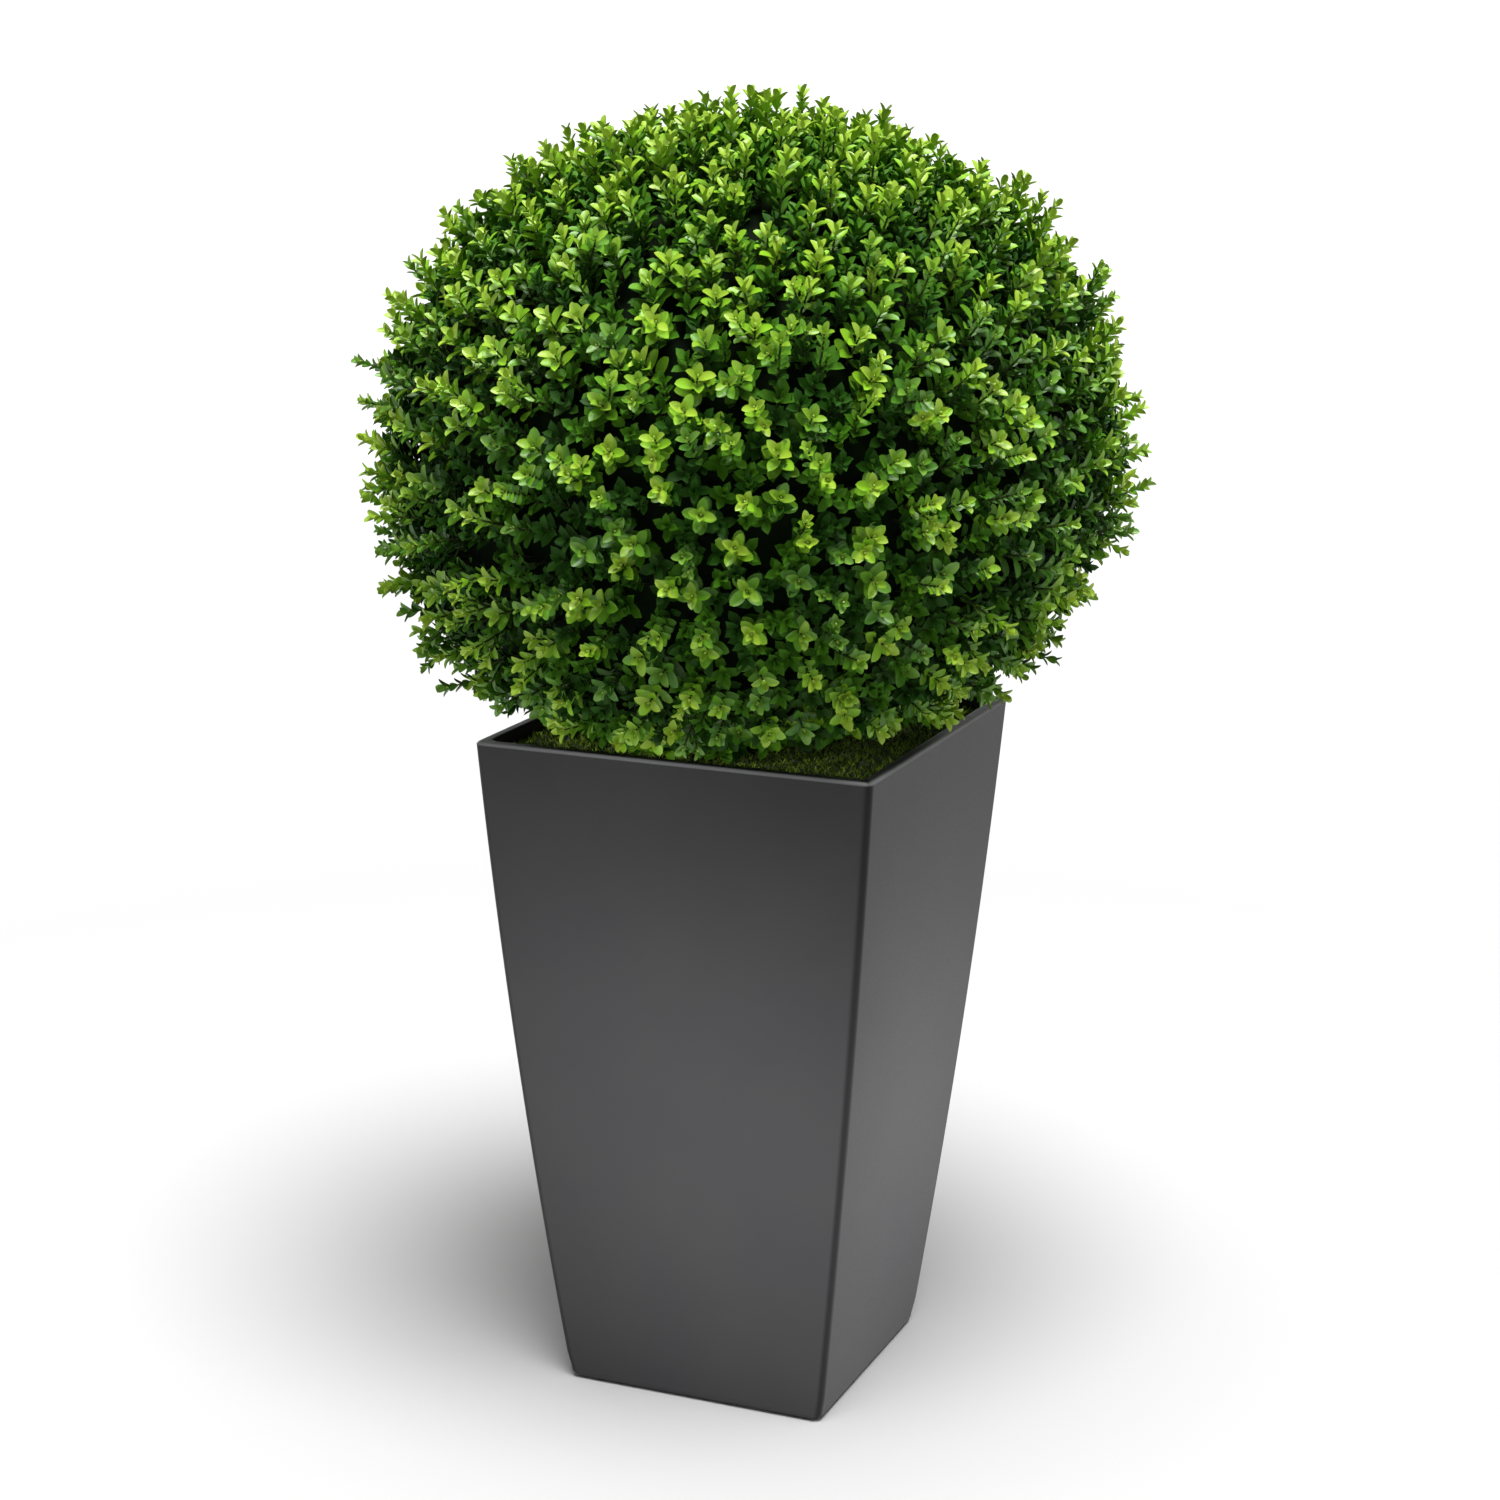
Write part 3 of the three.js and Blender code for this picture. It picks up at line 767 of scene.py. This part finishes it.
# %% Twigs as numbers
TWIG_LEAN = 0.10
TWIG_BEND = 0.11
TWIG_LIFT = 0.22
LIFT_BY_CLIMB = 2.4
LIFT_LIMITS = (0.9, 2.6)
TIP_LEAF_RISE = 12.5 * MM
REACH_DROP = 17 * MM
FILLER_DROP = 3 * MM
REACH_POWER = 2.0
SLENDER = 0.4
SHORTEST_TWIG = 16 * MM
SHOOT_SHARE = 0.28
SHOOT_LENGTH = (19 * MM, 28 * MM)
SHOOT_SPLAY = 0.8
SHOOT_SIZE = 0.88
CLEAR_OF_RIM = (4 * MM, 26 * MM)
CLEAR_OF_CORNER = 20 * MM
LEAF_HANG = 8 * MM
MOST_RISE = 0.3
TONE_LIMITS = (0.66, 0.30)
PAINTED_TOP_LIGHT = 0.7
CLIP_BOX = np.array([[-314, -312, 0], [314, 304, 1045]]) * MM
TWIG_SIZES = (0.94, 1.12)
NEARLY_UPRIGHT = 0.9
BEND_UP_ROUNDS = 3
SHOOT_PLACES = (0.45, 0.62)
SHOOT_RETURN = 0.5
GROWTH_SEED = 41
grow = np.random.default_rng(GROWTH_SEED)


def unit(vectors):
    """The same directions, each one long."""
    return vectors / np.linalg.norm(vectors, axis=-1, keepdims=True)


def rest_height(x, y):
    """The lowest height for a leaf: over the moss inside the planter's mouth, else over the rim."""
    mouth = POT_TOP_HALF - POT_WALL - LEAF_CLEARANCE
    in_mouth = np.maximum(abs(x), abs(y)) < mouth
    return np.where(in_mouth, MOSS_TOP + LEAF_CLEARANCE, POT_HEIGHT + LEAF_CLEARANCE)


def along_twig(twigs, part):
    """Places along twigs and their directions there, for a part from 0 at the root to 1."""
    bend = twigs["end"] - twigs["start"]
    step = (twigs["length"] * part)[:, None]
    place = twigs["root"] + step * (twigs["start"] + bend * part[:, None] / 2)
    return place, unit(twigs["start"] + bend * part[:, None])


def side_axes(twigs, direction):
    """Two directions square to each twig, the first one turned to the twig's own turn."""
    hint = np.where(abs(direction[:, 2:]) > NEARLY_UPRIGHT, [[1.0, 0.0, 0.0]], [[0.0, 0.0, 1.0]])
    level = unit(np.cross(direction, hint))
    other = np.cross(direction, level)
    turn = twigs["turn"][:, None]
    first = np.cos(turn) * level + np.sin(turn) * other
    return first, np.cross(direction, first)


def main_twigs(rows, set_back, drop):
    """Twigs from the shell to the ball's outline, bent up and cut over the moss and the rim."""
    climb, bearing, varies, turn = rows.T
    share = (varies + 1) / 2
    level = np.cos(climb)
    out = np.stack([level * np.cos(bearing), level * np.sin(bearing), np.sin(climb)], axis=1)
    lift = TWIG_LIFT * np.clip(1 + LIFT_BY_CLIMB * np.sin(climb), *LIFT_LIMITS)[:, None] * UP
    start = unit(out + TWIG_LEAN * grow.standard_normal(out.shape) + lift)
    end = unit(start + TWIG_BEND * grow.standard_normal(out.shape) + lift)
    root = out * (ball_reach(climb, bearing) - SHELL_DEPTH)[:, None] + SEAM_HEIGHT * UP
    reach = (REACH_VARIES + drop) * share ** REACH_POWER - drop
    length = SHELL_DEPTH + reach - TIP_LEAF_RISE - set_back
    clear = grow.uniform(*CLEAR_OF_RIM, len(turn))
    for _ in range(BEND_UP_ROUNDS):
        middle = unit(start + end)
        tip = root + middle * length[:, None]
        corner = np.minimum(abs(tip[:, 0]), abs(tip[:, 1])) / POT_TOP_HALF
        hang = LEAF_HANG + clear + CLEAR_OF_CORNER * np.minimum(corner, 1)
        room = root[:, 2] - rest_height(tip[:, 0], tip[:, 1]) - hang
        too_low = np.maximum(-middle[:, 2] - np.maximum(room / length, -MOST_RISE), 0)[:, None] * UP
        start, end = unit(start + too_low), unit(end + too_low)
    middle = unit(start + end)
    walls = np.where(middle > 0, CLIP_BOX[1], CLIP_BOX[0])
    length = np.minimum(length, ((walls - root) / middle).min(axis=1))
    kept = length > SHORTEST_TWIG
    # Painted top light: sprays higher on the ball get the lighter tones more often.
    tone_and_top_light = grow.random(len(turn)) + PAINTED_TOP_LIGHT * np.maximum(np.sin(climb), 0)
    twigs = {"root": root, "start": start, "end": end, "length": length, "turn": turn,
             "size": grow.uniform(*TWIG_SIZES, len(turn)), "slim": SLENDER * share ** 2,
             "tone": sum((tone_and_top_light < limit).astype(int) for limit in TONE_LIMITS)}
    return {name: values[kept] for name, values in twigs.items()}


def side_shoots(twigs):
    """Short shoots from the axils of some twigs."""
    chosen = (grow.random(len(twigs["turn"])) < SHOOT_SHARE) & (twigs["length"] > 2 * SHORTEST_TWIG)
    parents = {name: values[chosen] for name, values in twigs.items()}
    count = len(parents["turn"])
    root, direction = along_twig(parents, grow.uniform(*SHOOT_PLACES, count))
    first, _ = side_axes(parents, direction)
    sign = grow.choice([-1.0, 1.0], count)[:, None]
    start = unit(direction + SHOOT_SPLAY * sign * first)
    shoots = {"root": root, "start": start, "end": unit(start + SHOOT_RETURN * direction),
              "length": grow.uniform(*SHOOT_LENGTH, count), "turn": parents["turn"] + 90 * DEGREE,
              "size": SHOOT_SIZE * parents["size"], "slim": parents["slim"],
              "tone": parents["tone"]}
    tip, _ = along_twig(shoots, np.ones(count))
    clear = tip[:, 2] > rest_height(tip[:, 0], tip[:, 1]) + TIP_LEAF_RISE
    return {name: values[clear] for name, values in shoots.items()}


def joined(*sets):
    """Several sets of twigs or of leaves as one."""
    return {name: np.concatenate([one[name] for one in sets]) for name in sets[0]}


growth, filling = {}, {}
for half in HALVES:
    mains = main_twigs(placed[half], 0, REACH_DROP)
    growth[half] = joined(mains, side_shoots(mains))
    filling[half] = main_twigs(placed_between[half], FILLER_SET_BACK, FILLER_DROP)
print("Twigs and shoots:", {half: len(twigs["turn"]) for half, twigs in growth.items()})
print("Short twigs between them:", {half: len(twigs["turn"]) for half, twigs in filling.items()})

# %% [markdown]
# ## The shape of a leaf
# A box leaf is a small oval spoon: widest at the middle, folded along its midrib, with raised
# edges and a blunt point. A flat card would look like paper, so the leaf has a folded row of
# points for each step along its outline. Deep in the ball fewer steps are enough.

# %% Leaf templates
FINE_OUTLINE = [(0.0, 0.14), (0.14, 0.44), (0.30, 0.78), (0.47, 0.97), (0.64, 0.98), (0.80, 0.83),
                (0.93, 0.54)]
COARSE_OUTLINE = [(0.0, 0.14), (0.36, 0.90), (0.76, 0.84)]


def leaf_template(outline):
    """Points (along, across, cupped) of a leaf one long and one wide, and its triangles."""
    points = [(x, half * y / 2, half * abs(y)) for x, half in outline for y in (-1, 0, 1)]
    faces = []
    for row in range(len(outline) - 1):
        for a in (3 * row, 3 * row + 1):
            faces += [(a, a + 3, a + 4), (a, a + 4, a + 1)]
    tip = len(points)
    faces += [(tip - 3, tip, tip - 2), (tip - 2, tip, tip - 1)]
    return np.array([*points, (1.0, 0.0, 0.0)]), np.array(faces)


FINE_LEAF = leaf_template(FINE_OUTLINE)
COARSE_LEAF = leaf_template(COARSE_OUTLINE)
print("Triangles in a fine and a coarse leaf:", len(FINE_LEAF[1]), len(COARSE_LEAF[1]))

# %% [markdown]
# ## Where the leaves sit
# Box has its leaves in opposite pairs, each pair crossed with the next. The youngest pair
# is small and stands up round the bud. Further down the leaves are larger and lie flatter, the
# next ones curled back and the old ones with their tips turned up. Each row of this table is
# one pair, counted from the tip.

# %% Leaf pairs from the tip down
# Below the tip, length and width in metres, lean in degrees, cup and curl as shares.
PAIR_COLUMNS = ("below", "length", "width", "lean", "cup", "curl")
LEAF_PAIRS = [dict(zip(PAIR_COLUMNS, row)) for row in [
    (0.8 * MM, 11.0 * MM, 5.4 * MM, 20, 0.30, 0.12),
    (3.8 * MM, 14.0 * MM, 7.3 * MM, 40, 0.29, 0.18),
    (8.0 * MM, 15.5 * MM, 8.2 * MM, 53, 0.28, 0.12),
    (13 * MM, 16.0 * MM, 8.6 * MM, 62, 0.27, 0.02),
    (18.5 * MM, 16.0 * MM, 8.8 * MM, 68, 0.26, -0.04),
    (24.5 * MM, 16.5 * MM, 8.8 * MM, 72, 0.24, -0.06),
    (31 * MM, 16.5 * MM, 8.8 * MM, 75, 0.21, -0.03),
    (38 * MM, 16.5 * MM, 9.2 * MM, 77, 0.18, 0.0),
    (46 * MM, 16.5 * MM, 9.2 * MM, 78, 0.18, 0.0),
]]
LEAN_VARIES = 7 * DEGREE
TURN_VARIES = 9 * DEGREE
SIZE_VARIES = 0.08
TWIG_TOP_MARGIN = 3 * MM
SLIM_FROM_PAIR = 2


def leaf_pair(twigs, number):
    """The leaves of one pair on every twig that is long enough to carry it."""
    pair = LEAF_PAIRS[number]
    carries = twigs["length"] > pair["below"] + TWIG_TOP_MARGIN
    twigs = {name: values[carries] for name, values in twigs.items()}
    base, direction = along_twig(twigs, 1 - pair["below"] / twigs["length"])
    first, second = side_axes(twigs, direction)
    slim = twigs["slim"] * min(1, number / SLIM_FROM_PAIR)
    count = len(twigs["turn"])
    leaves = []
    for opposite in (0, 180 * DEGREE):
        facing = 90 * DEGREE * number + opposite + TURN_VARIES * grow.uniform(-1, 1, count)
        lean = pair["lean"] * DEGREE * (1 - slim) + LEAN_VARIES * grow.uniform(-1, 1, count)
        out = np.cos(facing)[:, None] * first + np.sin(facing)[:, None] * second
        along = np.sin(lean)[:, None] * out + np.cos(lean)[:, None] * direction
        across = unit(np.cross(direction, out))
        scale = twigs["size"] * (1 - slim) * (1 + SIZE_VARIES * grow.uniform(-1, 1, count))
        leaves.append({
            "base": base, "along": along, "across": across, "face": np.cross(along, across),
            "length": pair["length"] * scale, "width": pair["width"] * scale,
            "cup": np.full(count, pair["cup"]), "curl": np.full(count, pair["curl"]),
            "tone": twigs["tone"],
        })
    return joined(*leaves)


def leaf_mesh(leaves, template):
    """All these leaves as one set of points and triangles, and each triangle's tone."""
    (x, y, cup), faces = template[0].T, template[1]
    size = {name: leaves[name][:, None, None] for name in ("length", "width", "cup", "curl")}
    rise = size["cup"] * size["width"] * cup[None, :, None]
    fall = size["curl"] * size["length"] * (x ** 2)[None, :, None]
    points = (
        leaves["base"][:, None]
        + leaves["along"][:, None] * size["length"] * x[None, :, None]
        + leaves["across"][:, None] * size["width"] * y[None, :, None]
        + leaves["face"][:, None] * (rise - fall)
    )
    lowest = (points[..., 2] - rest_height(points[..., 0], points[..., 1])).min(axis=1)
    points = points[lowest > 0]
    count, corners = points.shape[:2]
    joined_faces = faces[None] + corners * np.arange(count)[:, None, None]
    tones = np.repeat(leaves["tone"][lowest > 0], len(faces))
    return points.reshape(-1, 3), joined_faces.reshape(-1, 3), tones


print("Leaf pairs on a full twig:", len(LEAF_PAIRS))

# %% [markdown]
# ## Leaf finishes
# The leaves are moulded in polyethylene, dyed through. Its surface is satin, a little
# uneven from the mould, so each leaf shows one soft highlight. The dye is lime at the tips,
# fresh green below and dark green on the old leaves; that darkening down the sprig is partly
# the leaves' own age colour and partly painted shade. The darkest dyes, on the innermost pairs
# and on the short twigs between the sprigs, are painted shade. Each spray has its own tone. The
# colours are plain, because the tone goes with the spray and not with a place on the leaf.

# %% Leaf materials by age and spray
LEAF_DYES = {
    "tip": ["#86A52C", "#749926", "#588126"],
    "young": ["#78A720", "#568719", "#407019"],
    "old": ["#5E8C17", "#416F14", "#325813"],
    # The inner dyes are painted shade, for leaves deep in the ball.
    "inner": ["#37640C", "#204708", "#1C3E07"],
}
LEAF_GLOSS = {"tip": (0.40, 0.31), "young": (0.38, 0.31), "old": (0.38, 0.31), "inner": (0.15, 0.5)}
SATIN_SPREAD = 0.2


def leaf_plastic(name, code, gloss, roughness):
    """Dyed polyethylene, satin from the mould."""
    material, tree, shader = start_material(
        name, {"Base Color": linear(code), "IOR": 1.51, "Metallic": 0.0,
               "Specular IOR Level": gloss})
    place = add_node(tree, "ShaderNodeTexCoord").outputs["Object"]
    uneven = add_node(tree, "ShaderNodeTexNoise", {"Scale": per_metre(3 * MM), "Detail": 2.0},
                      {"Vector": place})
    satin = add_node(tree, "ShaderNodeMapRange",
                     {"To Min": roughness, "To Max": roughness + SATIN_SPREAD},
                     {"Value": uneven.outputs["Fac"]})
    tree.links.new(satin.outputs["Result"], shader.inputs["Roughness"])
    relief = add_node(tree, "ShaderNodeBump", {"Strength": 0.3, "Distance": 0.3 * MM},
                      {"Height": uneven.outputs["Fac"]})
    tree.links.new(relief.outputs["Normal"], shader.inputs["Normal"])
    return material


leaf_finishes = {
    age: [leaf_plastic(f"polyethylene_{age}_leaf_{i + 1}", code, *LEAF_GLOSS[age])
          for i, code in enumerate(codes)]
    for age, codes in LEAF_DYES.items()
}
print("Leaf materials:", sum(len(finishes) for finishes in leaf_finishes.values()))

# %% [markdown]
# ## Leaves on every twig
# The leaves of one age in one half of the ball are joined into one mesh, which keeps the
# number of objects small. The pairs that the light reaches get the fine leaf.

# %% Joined leaf pieces
AGES = {
    "tip": (growth, [0, 1], FINE_LEAF),
    "young": (growth, [2, 3], FINE_LEAF),
    "old": (growth, [4, 5, 6], FINE_LEAF),
    # The innermost pairs and the short twigs' leaves take the inner dyes, which are painted shade.
    "inner": (growth, [7, 8], COARSE_LEAF),
    "filler": (filling, [0, 1, 2, 3, 4], COARSE_LEAF),
}
for age, (sprays, pairs, template) in AGES.items():
    finishes = leaf_finishes["inner" if age == "filler" else age]
    for half in HALVES:
        leaves = joined(*[leaf_pair(sprays[half], number) for number in pairs])
        points, faces, tones = leaf_mesh(leaves, template)
        piece = mesh_piece(f"{age}_leaves_{half}", points, faces, finishes, tones)
        settle(piece, "box_foliage", f"foliage_{half}")

# %% [markdown]
# ## Twigs and buds
# The twigs are thin dark stalks that show only where a sprig stands out of the ball, and a
# pale bud sits between the two youngest leaves. Both are tapered tubes on a few rings, fewer
# on the short twigs deep in the ball.

# %% Tubes along the twigs
TWIG_FOOT_RADIUS = 1.3 * MM
TWIG_TIP_RADIUS = 0.65 * MM
TWIG_RINGS = 6
SHORT_TWIG_RINGS = 3
TWIG_AROUND = 5
BUD_LENGTH = 4.2 * MM
BUD_RADIUS = 1.15 * MM
BUD_RINGS = [(0.0, 0.5), (0.3, 1.0), (0.7, 0.75), (1.0, 0.15)]


def tubes(twigs, rings):
    """Closed tubes along twigs, from rings of (part, radius) where a part may pass the tip."""
    points = []
    for part, radius in rings:
        place, direction = along_twig(twigs, part)
        first, second = side_axes(twigs, direction)
        for i in range(TWIG_AROUND):
            angle = 360 * DEGREE * i / TWIG_AROUND
            points.append(place + radius * (math.cos(angle) * first + math.sin(angle) * second))
    points = np.stack(points, axis=1)
    corners = len(rings) * TWIG_AROUND
    quads = np.array(ring_faces(len(rings), TWIG_AROUND))
    faces = np.concatenate([quads[:, [0, 1, 2]], quads[:, [0, 2, 3]]])
    caps = [(0, i + 1, i) for i in range(1, TWIG_AROUND - 1)]
    top = corners - TWIG_AROUND
    caps += [(top, top + i, top + i + 1) for i in range(1, TWIG_AROUND - 1)]
    faces = np.concatenate([faces, np.array(caps)])
    count = len(points)
    every = faces[None] + corners * np.arange(count)[:, None, None]
    return points.reshape(-1, 3), every.reshape(-1, 3)


twig_plastic = leaf_plastic("polyethylene_twig", "#2E3818", 0.2, 0.5)
bud_plastic = leaf_plastic("polyethylene_bud", "#B9D26A", 0.5, 0.3)
for half, twigs in growth.items():
    stalks = {"twigs": (twigs, TWIG_RINGS), "short_twigs": (filling[half], SHORT_TWIG_RINGS)}
    for name, (shared, count) in stalks.items():
        ones = np.ones(len(shared["turn"]))
        rings = [(ones * part, TWIG_FOOT_RADIUS + (TWIG_TIP_RADIUS - TWIG_FOOT_RADIUS) * part)
                 for part in np.linspace(0, 1, count)]
        settle(mesh_piece(f"{name}_{half}", *tubes(shared, rings), [twig_plastic]),
               "box_foliage", f"foliage_{half}")
    bud = [(1 + part * BUD_LENGTH / twigs["length"], BUD_RADIUS * width)
           for part, width in BUD_RINGS]
    settle(mesh_piece(f"buds_{half}", *tubes(twigs, bud), [bud_plastic]),
           "box_foliage", f"foliage_{half}")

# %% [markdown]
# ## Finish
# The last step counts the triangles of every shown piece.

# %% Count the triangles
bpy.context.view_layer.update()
triangles = sum(
    sum(len(face.vertices) - 2 for face in piece.data.polygons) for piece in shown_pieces())
print("Triangles in all:", triangles)
